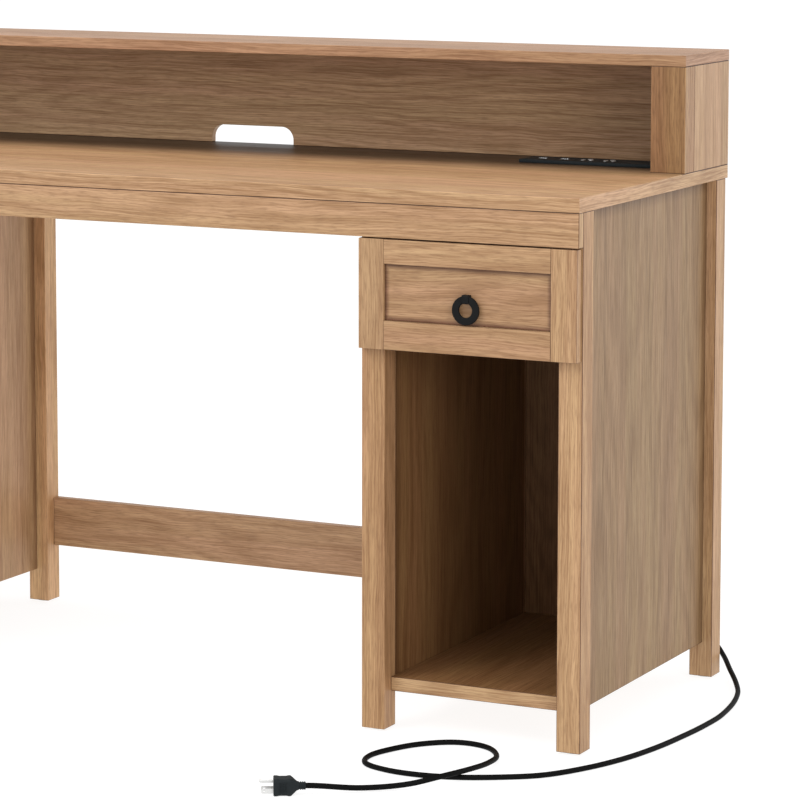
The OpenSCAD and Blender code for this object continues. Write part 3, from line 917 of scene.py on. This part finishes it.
class DESK_OT_power_cord(bpy.types.Operator):
    """Lay the power cord from its gland over the floor to its plug"""

    bl_idname = "desk.power_cord"
    bl_label = "Power Cord"

    def execute(self, context):
        cord = context.scene.desk_cord
        at_plug = Matrix.Translation(CORD_ROUTE[-1]) @ Matrix.Rotation(PLUG_TURN, 4, "Z")
        flex = self.flex(cord)
        self.gland()
        plug = self.plug(at_plug)
        blades = self.blades(at_plug)
        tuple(CORD_ROUTE[0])
        return {"FINISHED"}

    def flex(self, cord):
        """One smooth curve whose heading at each point halves the turn there."""
        points = [Vector(p) for p in CORD_ROUTE]
        curve = bpy.data.curves.new("power_cord_flex", "CURVE")
        curve.dimensions = "3D"
        curve.resolution_u = 10
        curve.bevel_depth = cord.diameter / 2
        curve.bevel_resolution = 5
        curve.use_fill_caps = True
        spline = curve.splines.new("BEZIER")
        spline.bezier_points.add(len(points) - 1)
        last = len(points) - 1
        for i, point in enumerate(points):
            back = point - points[max(i - 1, 0)]
            ahead = points[min(i + 1, last)] - point
            if i == 0:
                heading = Vector((0, 1, 0))
            elif i == last:
                heading = Vector((math.cos(PLUG_TURN), math.sin(PLUG_TURN), 0))
            else:
                heading = (back.normalized() + ahead.normalized()).normalized()
            knot = spline.bezier_points[i]
            knot.co = point
            knot.handle_left_type = knot.handle_right_type = "FREE"
            knot.handle_left = point - heading * (back.length or ahead.length) / 3
            knot.handle_right = point + heading * (ahead.length or back.length) / 3
        curve.materials.append(finish_of("cord_jacket"))
        flex = link("power_cord_flex", curve)
        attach(flex, "desk")
        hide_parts("power_cord")
        return flex

    def gland(self):
        """A flange and a tapered sleeve with flexing ribs, turned from radii and heights in millimetres."""
        low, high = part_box("cord_gland")
        length = (high.y - low.y) / MM
        flange = (high.x - low.x) / 2 / MM
        profile = [(flange - 0.6, 0), (flange, 0.6), (flange, 2.2), (flange - 0.8, 3)]
        for k in range(7):
            start, radius = 3 + 2.6 * k, 6.5 - 0.24 * k
            for inset, step in ((0.9, 0.1), (0.9, 0.9), (0, 1.2), (0, 2.4)):
                profile.append((radius - inset, start + step))
        profile += [(4.7, length - 0.6), (4.3, length)]
        bm = bmesh.new()
        place = aim(((low.x + high.x) / 2, low.y, (low.z + high.z) / 2), (0, 1, 0))
        turned(bm, [(r * MM, h * MM) for r, h in profile], place, 36)
        bmesh.ops.recalc_face_normals(bm, faces=bm.faces)
        return finish_piece("cord_gland_sleeve", bm, "desk", "black_plastic", ["cord_gland"])

    def plug(self, at_plug):
        """Ribbed neck, sloped shoulder and a grip body with a shallow waist."""
        neck, groove = 5.5, 4.7
        # Place along the plug, half width, half height and corner radius, in millimetres
        sections = [(0, 4.4, 4.4, 4.3), (0.4, neck, neck, neck - 0.1)]
        for start in (1.6, 4.4, 7.2):
            for step, radius in ((0, neck), (0.3, groove), (1.1, groove), (1.4, neck)):
                sections.append((start + step, radius, radius, radius - 0.1))
        sections += [
            (10, 5.6, 5.6, 5.2), (12, 6.6, 6.4, 5.0), (18.6, 12.2, 11.0, 4.2), (20, 12.9, 11.5, 4.0),
            (22, 13.0, 11.5, 4.0), (24, 12.3, 11.2, 3.8), (25.5, 12.1, 11.0, 3.8), (34, 12.1, 11.0, 3.8),
            (35.5, 12.3, 11.2, 3.8), (37.5, 13.0, 11.5, 4.0), (41, 13.0, 11.5, 4.0), (42, 12.2, 10.7, 3.4),
            (42, 11.4, 9.9, 2.8), (41.6, 11.1, 9.6, 2.6),
        ]
        rings = []
        for x, wide, high, corner in sections:
            outline = rounded(wide * MM, high * MM, corner * MM, 8)
            rings.append([at_plug @ Vector((x * MM, y, z)) for y, z in outline])
        bm = bmesh.new()
        loft(bm, rings)
        for k in range(5):
            self.grip_rib(bm, at_plug, (26 + 2 * k) * MM)
        bmesh.ops.recalc_face_normals(bm, faces=bm.faces)
        return finish_piece("plug_grip", bm, "desk", "black_plastic", ["plug_body"], smooth=38)

    def grip_rib(self, bm, at_plug, x):
        """A rounded bar on each flat side of the plug's waist."""
        for side in (-1, 1):
            rings = []
            for y, share in ((11.6, 1), (12.4, 1), (12.7, 0.5)):
                outline = rounded(0.55 * MM * share, 7 * MM - 0.4 * MM * (1 - share), 0.25 * MM * share, 3)
                rings.append([at_plug @ Vector((x + u, side * y * MM, v)) for u, v in outline])
            loft(bm, rings)

    def blades(self, at_plug):
        """Two flat blades, each with a hole, and a round-nosed ground pin."""
        bm = bmesh.new()
        for side in (-1, 1):
            self.blade(bm, at_plug, side * 6.35)
        axis = at_plug @ Matrix.Translation((42 * MM, 0, 6.7 * MM)) @ Matrix.Rotation(math.pi / 2, 4, "Y")
        radius, length = 2.4, 19
        profile = [(radius, -0.5)]
        for k in range(6):
            angle = math.pi / 2 * k / 6
            profile.append((radius * math.cos(angle), length - radius + radius * math.sin(angle)))
        profile.append((0.3, length))
        turned(bm, [(r * MM, z * MM) for r, z in profile], axis, 24)
        bmesh.ops.recalc_face_normals(bm, faces=bm.faces)
        return finish_piece("plug_pins", bm, "desk", "plug_metal", ["plug_blades"])

    def blade(self, bm, at_plug, middle):
        """An oblong plate with chamfered nose corners and a round hole near its tip, in millimetres."""
        start, end, half, nose = 41.5, 58.0, 3.2, 1.2
        hole, hole_at = 1.6, Vector((54.0, 0))
        drop, thick = 5.2, 1.5
        corners = [(start, -half), (end - nose, -half), (end, nose - half)]
        corners += [(x, -z) for x, z in corners[::-1]]
        outline = []
        for first, second in zip(corners, corners[1:] + corners[:1]):
            outline += [Vector(first).lerp(Vector(second), k / 4) for k in range(4)]
        inner = [hole_at + (point - hole_at).normalized() * hole for point in outline]
        rings = []
        for points, side in ((outline, -1), (outline, 1), (inner, 1), (inner, -1)):
            y = (middle + side * thick / 2) * MM
            rings.append([at_plug @ Vector((p.x * MM, y, (p.y - drop) * MM)) for p in points])
        loft(bm, rings, closed=True)


class DESK_OT_boards(bpy.types.Operator):
    """Cut the desktop, the apron, the crossbar and the pedestals' horizontal panels"""

    bl_idname = "desk.boards"
    bl_label = "Boards"

    def execute(self, context):
        edge = context.scene.desk_timber.edge
        for node in ("desktop", "front_apron", "kneehole_crossbar", "bay_top_panel"):
            make_board(node, edge)
        for side in SIDES:
            make_board(side + "_bottom_panel", edge)
        return {"FINISHED"}


class DESK_OT_legs(bpy.types.Operator):
    """Cut the eight square legs"""

    bl_idname = "desk.legs"
    bl_label = "Legs"

    def execute(self, context):
        for side in SIDES:
            for place in LEG_PLACES:
                make_board(f"{side}_{place}_leg", context.scene.desk_timber.edge)
        return {"FINISHED"}


class DESK_OT_side_panels(bpy.types.Operator):
    """Cut the pedestals' side and back panels"""

    bl_idname = "desk.side_panels"
    bl_label = "Side and Back Panels"

    def execute(self, context):
        for side in SIDES:
            for place in ("outer_side", "kneehole_side", "back"):
                make_board(f"{side}_{place}_panel", context.scene.desk_timber.edge)
        return {"FINISHED"}


class DESK_OT_monitor_shelf(bpy.types.Operator):
    """Cut the monitor shelf, its posts and its notched back panel"""

    bl_idname = "desk.monitor_shelf"
    bl_label = "Monitor Shelf"

    def execute(self, context):
        edge = context.scene.desk_timber.edge
        make_board("shelf_top", edge)
        make_board("shelf_back_panel", edge)
        for side in SIDES:
            make_board(side + "_shelf_post", edge)
            make_board(side + "_shelf_side_panel", edge)
        return {"FINISHED"}


class DESK_OT_drawer_fronts(bpy.types.Operator):
    """Frame the drawer fronts from stiles, rails and a recessed panel"""

    bl_idname = "desk.drawer_fronts"
    bl_label = "Drawer Fronts"

    def execute(self, context):
        for drawer in DRAWERS:
            make_board(drawer + "_front", context.scene.desk_timber.joint_edge)
        return {"FINISHED"}


class DESK_OT_drawer_boxes(bpy.types.Operator):
    """Build the drawer boxes and their bottoms"""

    bl_idname = "desk.drawer_boxes"
    bl_label = "Drawer Boxes"

    def execute(self, context):
        for drawer in DRAWERS:
            make_board(drawer + "_box", context.scene.desk_timber.edge)
            make_board(drawer + "_bottom", context.scene.desk_timber.joint_edge)
        return {"FINISHED"}


class DESK_OT_slides(bpy.types.Operator):
    """Roll the steel slide channels and fill their ball cages"""

    bl_idname = "desk.slides"
    bl_label = "Drawer Slides"

    def execute(self, context):
        cabinet_members = [side + "_cabinet_slides" for side in SIDES]
        drawer_members = [drawer + "_slides" for drawer in DRAWERS]
        edge = 0.45 * MM
        for node in cabinet_members + drawer_members:
            bm = cad_copy(node, edge)
            finish_piece(node + "_channels", bm, NODES[node]["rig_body"], SLOT_OF[node], [node])
        self.balls(context.scene.desk_hardware.balls)
        return {"FINISHED"}

    def balls(self, count):
        radius, inset, start, pitch = 0.95 * MM, 2.5 * MM, 8 * MM, 9 * MM
        bm = bmesh.new()
        bmesh.ops.create_icosphere(bm, subdivisions=2, radius=radius)
        sample = sample_object("ball_sample", bm)
        points = []
        for drawer in DRAWERS:
            low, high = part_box(drawer + "_slides")
            for x in (low.x + inset, high.x - inset):
                for z in (low.z - MM, high.z + MM):
                    for k in range(count):
                        points.append(((x, low.y + start + pitch * k, z), (0, 0, 1)))
        scatter("slide_balls", sample, points, "desk", "zinc_steel")
        bpy.data.objects.remove(sample)


class DESK_OT_ring_pulls(bpy.types.Operator):
    """Cast the ring pulls and the lugs that carry them"""

    bl_idname = "desk.ring_pulls"
    bl_label = "Ring Pulls"

    def execute(self, context):
        for drawer in DRAWERS:
            self.lug(drawer)
            self.ring(drawer)
        return {"FINISHED"}

    def lug(self, drawer):
        node = drawer + "_pull_lug"
        bm = cad_copy(node, 0.5 * MM, 3)
        finish_piece(node + "_casting", bm, drawer, "black_metal", [node], smooth=40)

    def ring(self, drawer):
        """A flat ring with soft edges whose open ends stand upright beside the lug."""
        node = drawer + "_pull_ring"
        low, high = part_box(node)
        outer, thick = (high.x - low.x) / 2, (high.y - low.y) / 2
        inner = outer / 2
        half_gap = 5.7 * MM
        centre = Vector(((low.x + high.x) / 2, (low.y + high.y) / 2, low.z + outer))
        middle, band = (outer + inner) / 2, (outer - inner) / 2
        section = rounded(band, thick, 1.5 * MM, 5)
        # Place along the ring, from 0 to 1, and the section's size there
        ends = [(0, 0.90), (0.004, 0.98), (0.010, 1)]
        steps = ends + [(0.02 + 0.96 * k / 60, 1) for k in range(61)] + [(1 - t, s) for t, s in ends[::-1]]
        rings = []
        for t, size in steps:
            ring = []
            for u, v in section:
                radius = middle + u * size
                start = math.asin(half_gap / radius)
                angle = start + t * (2 * math.pi - 2 * start)
                ring.append(centre + Vector((radius * math.sin(angle), v * size, radius * math.cos(angle))))
            rings.append(ring)
        bm = bmesh.new()
        loft(bm, rings)
        bmesh.ops.recalc_face_normals(bm, faces=bm.faces)
        finish_piece(node + "_casting", bm, drawer + "_ring", "black_metal", [node], smooth=45)


class DESK_OT_power_strip(bpy.types.Operator):
    """Mould the power strip with its outlets, contacts and charging ports"""

    bl_idname = "desk.power_strip"
    bl_label = "Power Strip"

    def execute(self, context):
        bm = cad_copy("strip_housing", 0.9 * MM, 3)
        finish_piece("strip_housing_shell", bm, "desk", "black_plastic", ["strip_housing"], smooth=35)
        bm = cad_copy("ac_outlets", 0.3 * MM)
        finish_piece("outlet_faces", bm, "desk", "black_plastic", ["ac_outlets"], smooth=35)
        bm = cad_copy("usb_ports", 0.15 * MM)
        finish_piece("port_shells", bm, "desk", "zinc_steel", ["usb_ports"])
        self.contacts()
        return {"FINISHED"}

    def contacts(self):
        """Plated rims round the blade slots and ground holes, in millimetres about each outlet's middle."""
        low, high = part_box("ac_outlets")
        y = (low.y + high.y) / 2
        half_side = (high.y - low.y) / 2
        openings = [(dx, -5.2, 1.1, 4.0, 0.3) for dx in (-6.35, 6.35)] + [(0, 6.7, 2.6, 2.6, 2.5)]
        profile = [(0, -2), (0, 0.5), (0.3, 0.8), (0.9, 0.8), (1.2, 0.5), (1.2, -0.3)]
        bm = bmesh.new()
        for x in (low.x + half_side, high.x - half_side):
            for dx, dy, a, b, corner in openings:
                centre = Vector((x + dx * MM, y + dy * MM, high.z))
                rings = []
                for grow, lift in profile:
                    outline = rounded((a + grow) * MM, (b + grow) * MM, (corner + grow) * MM, 4)
                    rings.append([centre + Vector((u, v, lift * MM)) for u, v in outline])
                loft(bm, rings, closed=True)
        bmesh.ops.recalc_face_normals(bm, faces=bm.faces)
        finish_piece("outlet_rims", bm, "desk", "plug_metal")


class DESK_OT_fasteners(bpy.types.Operator):
    """Drive the screws of the slides, the back panels and the pulls"""

    bl_idname = "desk.fasteners"
    bl_label = "Fasteners"

    def execute(self, context):
        sample = screw_sample(context.scene.desk_hardware.screw_r)
        scatter("carcass_screws", sample, self.carcass_points(), "desk", "zinc_steel", seed=3)
        for number, drawer in enumerate(DRAWERS):
            points = self.drawer_points(drawer)
            scatter(drawer + "_screws", sample, points, drawer, "zinc_steel", seed=10 + number)
        bpy.data.objects.remove(sample)
        return {"FINISHED"}

    def slide_points(self, drawer, inset, way, shares):
        """Screws at shares of a slide's length, both sides of the drawer."""
        low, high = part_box(drawer + "_slides")
        middle = (low.z + high.z) / 2
        points = []
        for x, facing in ((low.x + inset, way), (high.x - inset, -way)):
            for share in shares:
                points.append(((x, low.y + share * (high.y - low.y), middle), (facing, 0, 0)))
        return points

    def carcass_points(self):
        points = []
        for drawer in DRAWERS:
            points += self.slide_points(drawer, -2 * MM, 1, (0.08, 0.5, 0.92))
        for side in SIDES:
            low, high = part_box(side + "_back_panel")
            for z in (low.z + 30 * MM, (low.z + high.z) / 2, high.z - 60 * MM):
                for x in (low.x + 12 * MM, high.x - 12 * MM):
                    points.append(((x, high.y, z), (0, 1, 0)))
        low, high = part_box("shelf_back_panel")
        for k in range(8):
            x = low.x + 30 * MM + (high.x - low.x - 60 * MM) * k / 7
            points.append(((x, high.y - 0.6 * MM, high.z - 10 * MM), (0, 1, 0)))
        return points

    def drawer_points(self, drawer):
        points = self.slide_points(drawer, 7.5 * MM, -1, (0.12, 0.45, 0.88))
        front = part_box(drawer + "_front")[1].y
        lug_low, lug_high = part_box(drawer + "_pull_lug")
        points.append((((lug_low.x + lug_high.x) / 2, front, (lug_low.z + lug_high.z) / 2), (0, 1, 0)))
        return points


class DESK_OT_glides(bpy.types.Operator):
    """Tap a nail-on glide under each leg"""

    bl_idname = "desk.glides"
    bl_label = "Foot Glides"

    def execute(self, context):
        profile = [(9.3, 0), (10.1, 0.35), (10.5, 1.1), (10.5, 2.3), (10.2, 2.8), (9.8, 3)]
        bm = bmesh.new()
        turned(bm, [(r * MM, z * MM) for r, z in profile], Matrix.Identity(4), 24)
        sample = sample_object("glide_sample", bm)
        points = []
        for side in SIDES:
            for place in LEG_PLACES:
                low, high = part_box(f"{side}_{place}_leg")
                points.append((((low.x + high.x) / 2, (low.y + high.y) / 2, 0), (0, 0, 1)))
        scatter("foot_glide_set", sample, points, "desk", "white_glide", replaced=["foot_glides"])
        bpy.data.objects.remove(sample)
        return {"FINISHED"}


class DESK_PT_panel(bpy.types.Panel):
    """Builds the desk piece by piece"""

    bl_label = "Oak Desk"
    bl_idname = "DESK_PT_panel"
    bl_space_type = "VIEW_3D"
    bl_region_type = "UI"
    bl_category = "Desk"

    def draw(self, context):
        layout = self.layout
        for group in SETTINGS:
            settings = getattr(context.scene, group)
            box = layout.box()
            for name in settings.__annotations__:
                box.prop(settings, name)
        for operator in OPERATORS:
            layout.operator(operator.bl_idname)


SETTINGS = {
    "desk_timber": TimberSettings,
    "desk_hardware": HardwareSettings,
    "desk_cord": CordSettings,
    "desk_stage": StageSettings,
}
OPERATORS = (
    DESK_OT_stage,
    DESK_OT_finishes,
    DESK_OT_power_cord,
    DESK_OT_boards,
    DESK_OT_legs,
    DESK_OT_side_panels,
    DESK_OT_monitor_shelf,
    DESK_OT_drawer_fronts,
    DESK_OT_drawer_boxes,
    DESK_OT_slides,
    DESK_OT_ring_pulls,
    DESK_OT_power_strip,
    DESK_OT_fasteners,
    DESK_OT_glides,
)


def register():
    for cls in (*SETTINGS.values(), *OPERATORS, DESK_PT_panel):
        bpy.utils.register_class(cls)
    for name, cls in SETTINGS.items():
        setattr(bpy.types.Scene, name, PointerProperty(type=cls))


def unregister():
    for name in SETTINGS:
        delattr(bpy.types.Scene, name)
    for cls in (DESK_PT_panel, *OPERATORS[::-1], *SETTINGS.values()):
        bpy.utils.unregister_class(cls)


def main():
    register()
    for operator in OPERATORS:
        group, name = operator.bl_idname.split(".")
        getattr(getattr(bpy.ops, group), name)()


if __name__ == "__main__":
    main()
